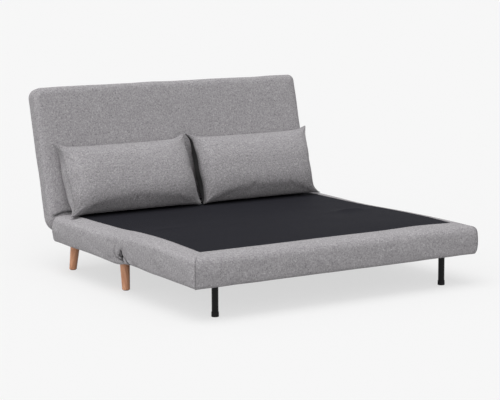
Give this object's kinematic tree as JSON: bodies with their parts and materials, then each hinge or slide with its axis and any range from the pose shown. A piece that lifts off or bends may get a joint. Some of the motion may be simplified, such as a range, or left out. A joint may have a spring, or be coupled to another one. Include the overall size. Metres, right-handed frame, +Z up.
{
  "type": "click clack sofa bed",
  "caption": "Fold-out sofa bed laid flat: padded front and rear sections with deck cloth, reclining backrest, splayed wooden legs, folding metal legs and loose lumbar pillows.",
  "frame": {"origin": "on the floor, under the middle of the bounding box of the whole sofa bed", "axes": "+X to the right of someone facing the backrest, +Y towards the backrest, +Z up; the free front edge of the bed faces -Y"},
  "size_m": [1.55, 1.6664, 0.8888],
  "materials": {
    "grey_fabric": "heathered grey woven upholstery fabric",
    "deck_cloth": "charcoal woven deck cloth",
    "backing_cloth": "black non-woven backing cloth",
    "timber": "sawn softwood",
    "beech": "satin lacquered beech",
    "black_steel": "satin black powder coat",
    "zinc_steel": "zinc plated",
    "black_rubber": "matt moulded rubber"
  },
  "bodies": {
    "rear_section": {"rear_upholstery": "grey_fabric", "rear_deck_cloth": "deck_cloth", "rear_frame": "timber", "rear_dust_cover": "backing_cloth", "wood_leg_front_left": "beech", "wood_leg_front_right": "beech", "wood_leg_rear_left": "beech", "wood_leg_rear_right": "beech", "leg_plate_front_left": "zinc_steel", "leg_plate_front_right": "zinc_steel", "leg_plate_rear_left": "zinc_steel", "leg_plate_rear_right": "zinc_steel", "leg_glide_front_left": "black_rubber", "leg_glide_front_right": "black_rubber", "leg_glide_rear_left": "black_rubber", "leg_glide_rear_right": "black_rubber", "fold_hinge_rear_leaf_left": "zinc_steel", "fold_hinge_rear_leaf_right": "zinc_steel", "fold_hinge_pin_left": "zinc_steel", "fold_hinge_pin_right": "zinc_steel", "ratchet_plate_left": "zinc_steel", "ratchet_plate_right": "zinc_steel", "ratchet_pin_left": "zinc_steel", "ratchet_pin_right": "zinc_steel"},
    "front_section": {"front_upholstery": "grey_fabric", "front_deck_cloth": "deck_cloth", "front_frame": "timber", "front_seat_panel": "grey_fabric", "seat_pad_front": "grey_fabric", "seat_pad_middle": "grey_fabric", "seat_pad_left": "grey_fabric", "seat_pad_right": "grey_fabric", "leg_channel_left": "black_steel", "leg_channel_right": "black_steel", "leg_pin_left": "zinc_steel", "leg_pin_right": "zinc_steel", "fold_hinge_front_leaf_left": "zinc_steel", "fold_hinge_front_leaf_right": "zinc_steel"},
    "leg_left": {"metal_leg_left": "black_steel", "leg_foot_left": "black_rubber"},
    "leg_right": {"metal_leg_right": "black_steel", "leg_foot_right": "black_rubber"},
    "backrest": {"back_frame": "timber", "back_front_pad": "grey_fabric", "back_rear_panel": "grey_fabric", "ratchet_arm_left": "zinc_steel", "ratchet_arm_right": "zinc_steel", "ratchet_pawl_left": "zinc_steel", "ratchet_pawl_right": "zinc_steel", "pawl_pin_left": "zinc_steel", "pawl_pin_right": "zinc_steel"},
    "left_pillow": {"pillow_left": "grey_fabric"},
    "right_pillow": {"pillow_right": "grey_fabric"}
  },
  "joints": [
    {"name": "front_fold", "type": "hinge", "parent": "rear_section", "child": "front_section", "pos_m": [0, -0.16816, 0.2905], "axis": [-1, 0, 0], "range_deg": [0, 180]},
    {"name": "back_recline", "type": "hinge", "parent": "rear_section", "child": "backrest", "pos_m": [0, 0.61584, 0.2365], "axis": [-1, 0, 0], "range_deg": [0, 75]},
    {"name": "front_leg_left_fold", "type": "hinge", "parent": "front_section", "child": "leg_left", "pos_m": [-0.62, -0.75016, 0.181], "axis": [0, -1, 0], "range_deg": [0, 90]},
    {"name": "front_leg_right_fold", "type": "hinge", "parent": "front_section", "child": "leg_right", "pos_m": [0.62, -0.75016, 0.181], "axis": [0, 1, 0], "range_deg": [0, 90]},
    {"name": "left_pillow_lift", "type": "slide", "parent": "backrest", "child": "left_pillow", "axis": [0, 0.2588, 0.9659], "range_m": [0, 0.46]},
    {"name": "right_pillow_lift", "type": "slide", "parent": "backrest", "child": "right_pillow", "axis": [0, 0.2588, 0.9659], "range_m": [0, 0.46]}
  ],
  "couplings": [
    {"joint": "left_pillow_lift", "follows": "front_fold", "m_per_rad": 0.14324},
    {"joint": "right_pillow_lift", "follows": "front_fold", "m_per_rad": 0.14324}
  ]
}
